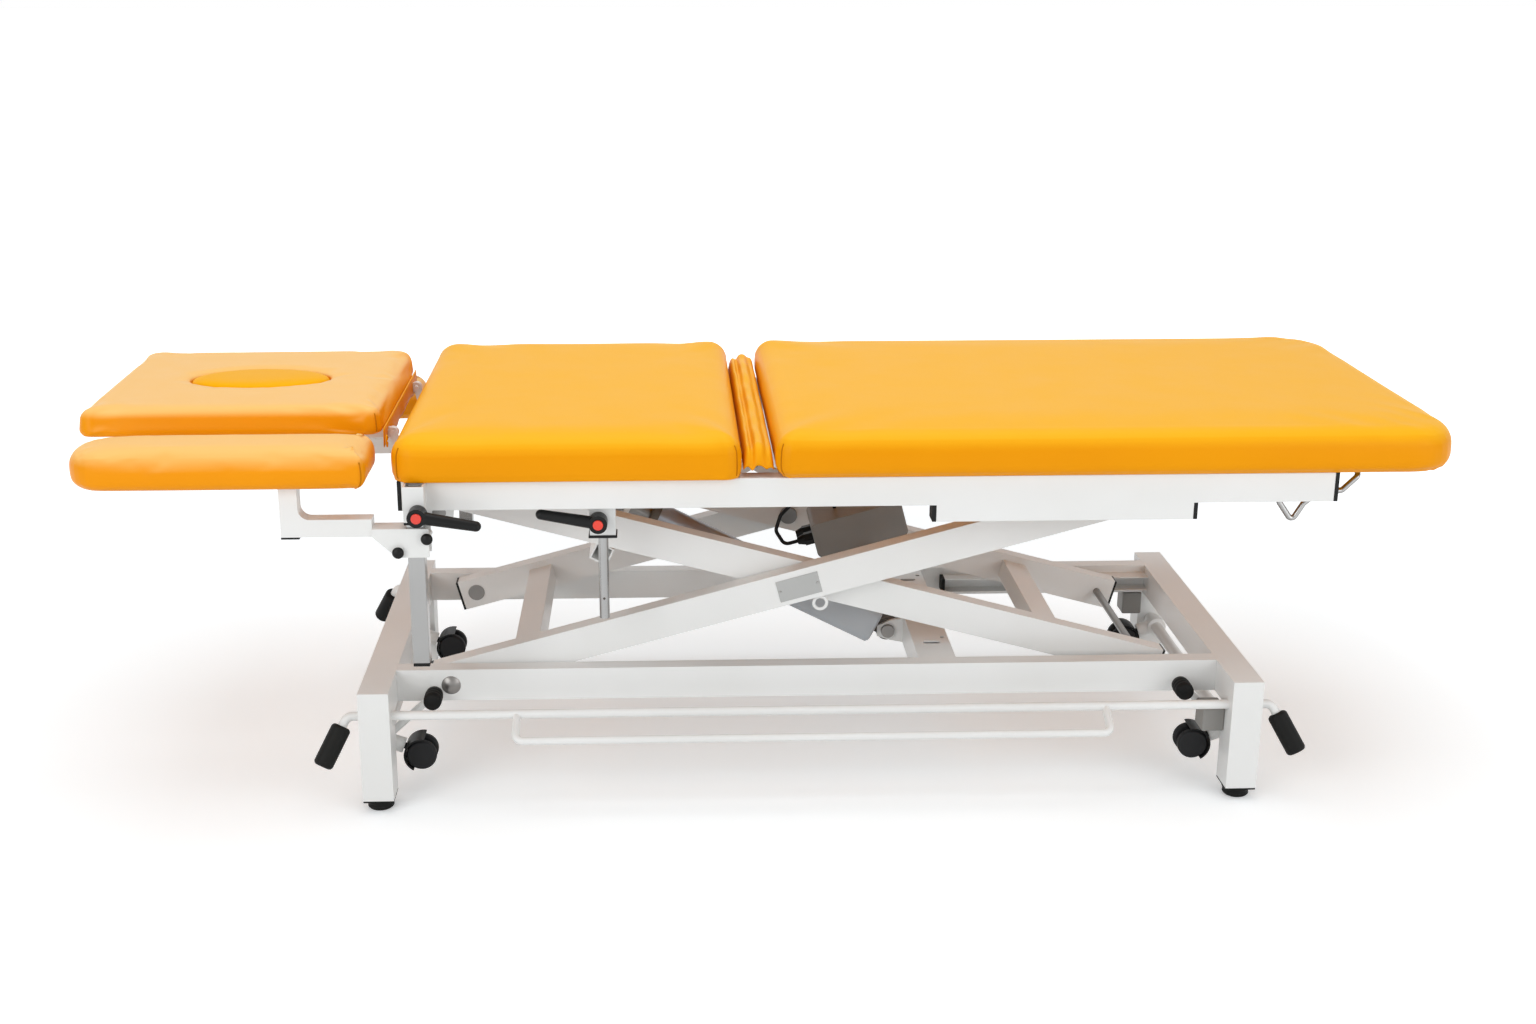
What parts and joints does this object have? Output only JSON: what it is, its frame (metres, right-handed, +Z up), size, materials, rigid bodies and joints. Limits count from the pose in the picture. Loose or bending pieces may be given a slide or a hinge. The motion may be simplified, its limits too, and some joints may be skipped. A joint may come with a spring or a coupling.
{
  "type": "treatment table",
  "caption": "Height-adjustable treatment couch with a scissor lift, amber upholstery, a raising back section, a tilting head rest and sliding armrests",
  "frame": {"origin": "on the floor under the middle of the table top", "axes": "+X towards the foot end, +Y towards the rear, +Z up"},
  "size_m": [2.034, 0.76, 0.598],
  "materials": {
    "white_coat": "white powder coat",
    "amber_vinyl": "smooth amber vinyl",
    "bright_vinyl": "smooth amber vinyl",
    "black_plastic": "fine texture",
    "black_rubber": "matt",
    "chrome": "polished",
    "zinc": "turned steel",
    "blue_grey": "satin paint",
    "silver_tube": "drawn tube",
    "cast_grey": "dark casting",
    "box_grey": "grey-brown moulding",
    "light_grey": "light grey moulding",
    "red_plastic": "red-orange button",
    "tyre_grey": "grey tread"
  },
  "bodies": {
    "base": {"base_end_frames": "white_coat", "base_rails": "white_coat", "base_cross_member": "white_coat", "base_caps": "black_rubber", "base_pins": "zinc", "switch_boxes": "box_grey"},
    "outer_scissor": {"outer_arms": "white_coat", "outer_arm_tubes": "white_coat", "outer_arm_caps": "black_plastic", "centre_pins": "zinc", "control_box": "box_grey", "control_cable": "black_plastic"},
    "upper_roller": {"upper_roller_axle": "zinc"},
    "inner_scissor": {"inner_arms": "white_coat", "inner_arm_tubes": "white_coat", "inner_arm_caps": "black_plastic"},
    "lower_roller": {"lower_roller_axle": "zinc"},
    "actuator": {"actuator_castings": "cast_grey", "actuator_housing": "blue_grey", "actuator_tube": "silver_tube"},
    "actuator_spindle": {"actuator_rod": "zinc"},
    "upper_frame": {"side_rails": "white_coat", "frame_cross_tubes": "white_coat", "frame_brackets": "white_coat", "frame_pins": "zinc", "frame_caps": "black_plastic", "armrest_posts": "chrome", "roll_holder": "chrome", "long_cushion": "amber_vinyl", "gusset": "amber_vinyl"},
    "middle_section": {"middle_frame": "white_coat", "middle_cushion": "amber_vinyl"},
    "lock": {"locking_rod": "chrome"},
    "head_section": {"head_frame": "white_coat", "head_cushion": "amber_vinyl"},
    "plug": {"face_plug": "bright_vinyl"},
    "front_armrest": {"front_armrest_pad": "amber_vinyl", "front_armrest_holder": "white_coat"},
    "rear_armrest": {"rear_armrest_pad": "amber_vinyl", "rear_armrest_holder": "white_coat"},
    "front_lever": {"front_clamp_lever": "black_plastic"},
    "front_button": {"front_clamp_button": "red_plastic"},
    "rear_lever": {"rear_clamp_lever": "black_plastic"},
    "rear_button": {"rear_clamp_button": "red_plastic"},
    "section_lever": {"section_clamp_lever": "black_plastic"},
    "section_button": {"section_clamp_button": "red_plastic"},
    "front_bar": {"front_foot_bar": "white_coat", "front_foot_bar_grips": "black_rubber"},
    "rear_bar": {"rear_foot_bar": "white_coat", "rear_foot_bar_grips": "black_rubber"},
    "left_castor_gear": {"left_castor_shaft": "white_coat"},
    "right_castor_gear": {"right_castor_shaft": "white_coat"},
    "front_left_castor_fork": {"front_left_castor": "black_plastic"},
    "front_left_castor_roll": {"front_left_castor_wheels": "tyre_grey"},
    "front_right_castor_fork": {"front_right_castor": "black_plastic"},
    "front_right_castor_roll": {"front_right_castor_wheels": "tyre_grey"},
    "rear_left_castor_fork": {"rear_left_castor": "black_plastic"},
    "rear_left_castor_roll": {"rear_left_castor_wheels": "tyre_grey"},
    "rear_right_castor_fork": {"rear_right_castor": "black_plastic"},
    "rear_right_castor_roll": {"rear_right_castor_wheels": "tyre_grey"}
  },
  "joints": [
    {"name": "lift", "type": "hinge", "parent": "base", "child": "outer_scissor", "pos_m": [-0.477, 0, 0.167], "axis": [0, -1, 0], "range_deg": [0, 20]},
    {"name": "scissor_crossing", "type": "hinge", "parent": "outer_scissor", "child": "inner_scissor", "pos_m": [0.06183, 0, 0.312], "axis": [0, -1, 0], "range_deg": [-40, 0]},
    {"name": "frame_level", "type": "hinge", "parent": "inner_scissor", "child": "upper_frame", "pos_m": [-0.477, 0, 0.457], "axis": [0, -1, 0], "range_deg": [0, 20]},
    {"name": "actuator_swing", "type": "hinge", "parent": "base", "child": "actuator", "pos_m": [0.216, 0, 0.163], "axis": [0, 1, 0], "range_deg": [0, 20.2]},
    {"name": "actuator_stroke", "type": "slide", "parent": "actuator", "child": "actuator_spindle", "axis": [-0.8896, 0, 0.4568], "range_m": [0, 0.19]},
    {"name": "upper_roller_spin", "type": "hinge", "parent": "outer_scissor", "child": "upper_roller", "pos_m": [0.60066, 0, 0.457], "axis": [0, 1, 0], "continuous": true},
    {"name": "lower_roller_spin", "type": "hinge", "parent": "inner_scissor", "child": "lower_roller", "pos_m": [0.60066, 0, 0.167], "axis": [0, 1, 0], "continuous": true},
    {"name": "middle_hinge", "type": "hinge", "parent": "upper_frame", "child": "middle_section", "pos_m": [-0.0135, 0, 0.507], "axis": [0, 1, 0], "range_deg": [0, 25]},
    {"name": "lock_rod_slide", "type": "slide", "parent": "upper_frame", "child": "lock", "axis": [0, 0, 1], "range_m": [0, 0.103]},
    {"name": "head_hinge", "type": "hinge", "parent": "middle_section", "child": "head_section", "pos_m": [-0.558, 0, 0.542], "axis": [0, 1, 0], "range_deg": [-70, 20]},
    {"name": "face_plug_lift", "type": "slide", "parent": "head_section", "child": "plug", "axis": [0, 0, 1], "range_m": [0, 0.06]},
    {"name": "front_armrest_slide", "type": "slide", "parent": "upper_frame", "child": "front_armrest", "axis": [0, 0, 1], "range_m": [-0.15, 0]},
    {"name": "front_lever_turn", "type": "hinge", "parent": "upper_frame", "child": "front_lever", "pos_m": [-0.4995, -0.35, 0.474], "axis": [0, -1, 0], "range_deg": [-20, 50]},
    {"name": "front_button_press", "type": "slide", "parent": "front_lever", "child": "front_button", "axis": [0, 1, 0], "range_m": [0, 0.0025], "stiffness_N_per_m": 400},
    {"name": "front_bar_tilt", "type": "hinge", "parent": "base", "child": "front_bar", "pos_m": [0.07, -0.311, 0.148], "axis": [1, 0, 0], "range_deg": [-8, 8], "stiffness_Nm_per_rad": 60},
    {"name": "rear_armrest_slide", "type": "slide", "parent": "upper_frame", "child": "rear_armrest", "axis": [0, 0, 1], "range_m": [-0.09, 0.06]},
    {"name": "rear_lever_turn", "type": "hinge", "parent": "upper_frame", "child": "rear_lever", "pos_m": [-0.4995, 0.35, 0.474], "axis": [0, -1, 0], "range_deg": [-20, 50]},
    {"name": "rear_button_press", "type": "slide", "parent": "rear_lever", "child": "rear_button", "axis": [0, -1, 0], "range_m": [0, 0.0025], "stiffness_N_per_m": 400},
    {"name": "rear_bar_tilt", "type": "hinge", "parent": "base", "child": "rear_bar", "pos_m": [0.07, 0.263, 0.148], "axis": [1, 0, 0], "range_deg": [-8, 8], "stiffness_Nm_per_rad": 60},
    {"name": "section_lever_turn", "type": "hinge", "parent": "upper_frame", "child": "section_lever", "pos_m": [-0.246, -0.29, 0.443], "axis": [0, -1, 0], "range_deg": [0, 55]},
    {"name": "section_button_press", "type": "slide", "parent": "section_lever", "child": "section_button", "axis": [0, 1, 0], "range_m": [0, 0.0025], "stiffness_N_per_m": 400},
    {"name": "left_castor_deploy", "type": "hinge", "parent": "base", "child": "left_castor_gear", "pos_m": [-0.582, -0.024, 0.084], "axis": [0, 1, 0], "range_deg": [0, 70]},
    {"name": "right_castor_deploy", "type": "hinge", "parent": "base", "child": "right_castor_gear", "pos_m": [0.722, -0.024, 0.084], "axis": [0, -1, 0], "range_deg": [0, 70]},
    {"name": "front_left_castor_swivel", "type": "hinge", "parent": "left_castor_gear", "child": "front_left_castor_fork", "pos_m": [-0.52374, -0.25, 0.06279], "axis": [0.9397, 0, -0.342], "continuous": true},
    {"name": "front_left_castor_spin", "type": "hinge", "parent": "front_left_castor_fork", "child": "front_left_castor_roll", "pos_m": [-0.52374, -0.25, 0.06279], "axis": [0, 1, 0], "continuous": true},
    {"name": "front_right_castor_swivel", "type": "hinge", "parent": "right_castor_gear", "child": "front_right_castor_fork", "pos_m": [0.66374, -0.25, 0.06279], "axis": [-0.9397, 0, -0.342], "continuous": true},
    {"name": "front_right_castor_spin", "type": "hinge", "parent": "front_right_castor_fork", "child": "front_right_castor_roll", "pos_m": [0.66374, -0.25, 0.06279], "axis": [0, 1, 0], "continuous": true},
    {"name": "rear_left_castor_swivel", "type": "hinge", "parent": "left_castor_gear", "child": "rear_left_castor_fork", "pos_m": [-0.52374, 0.202, 0.06279], "axis": [0.9397, 0, -0.342], "continuous": true},
    {"name": "rear_left_castor_spin", "type": "hinge", "parent": "rear_left_castor_fork", "child": "rear_left_castor_roll", "pos_m": [-0.52374, 0.202, 0.06279], "axis": [0, 1, 0], "continuous": true},
    {"name": "rear_right_castor_swivel", "type": "hinge", "parent": "right_castor_gear", "child": "rear_right_castor_fork", "pos_m": [0.66374, 0.202, 0.06279], "axis": [-0.9397, 0, -0.342], "continuous": true},
    {"name": "rear_right_castor_spin", "type": "hinge", "parent": "rear_right_castor_fork", "child": "rear_right_castor_roll", "pos_m": [0.66374, 0.202, 0.06279], "axis": [0, 1, 0], "continuous": true}
  ],
  "couplings": [
    {"joint": "scissor_crossing", "follows": "lift", "ratio": -2},
    {"joint": "frame_level", "follows": "lift", "ratio": 1},
    {"joint": "actuator_swing", "follows": "lift", "ratio": 1.004},
    {"joint": "actuator_stroke", "follows": "lift", "m_per_rad": 0.541},
    {"joint": "lock_rod_slide", "follows": "middle_hinge", "m_per_rad": 0.236}
  ]
}
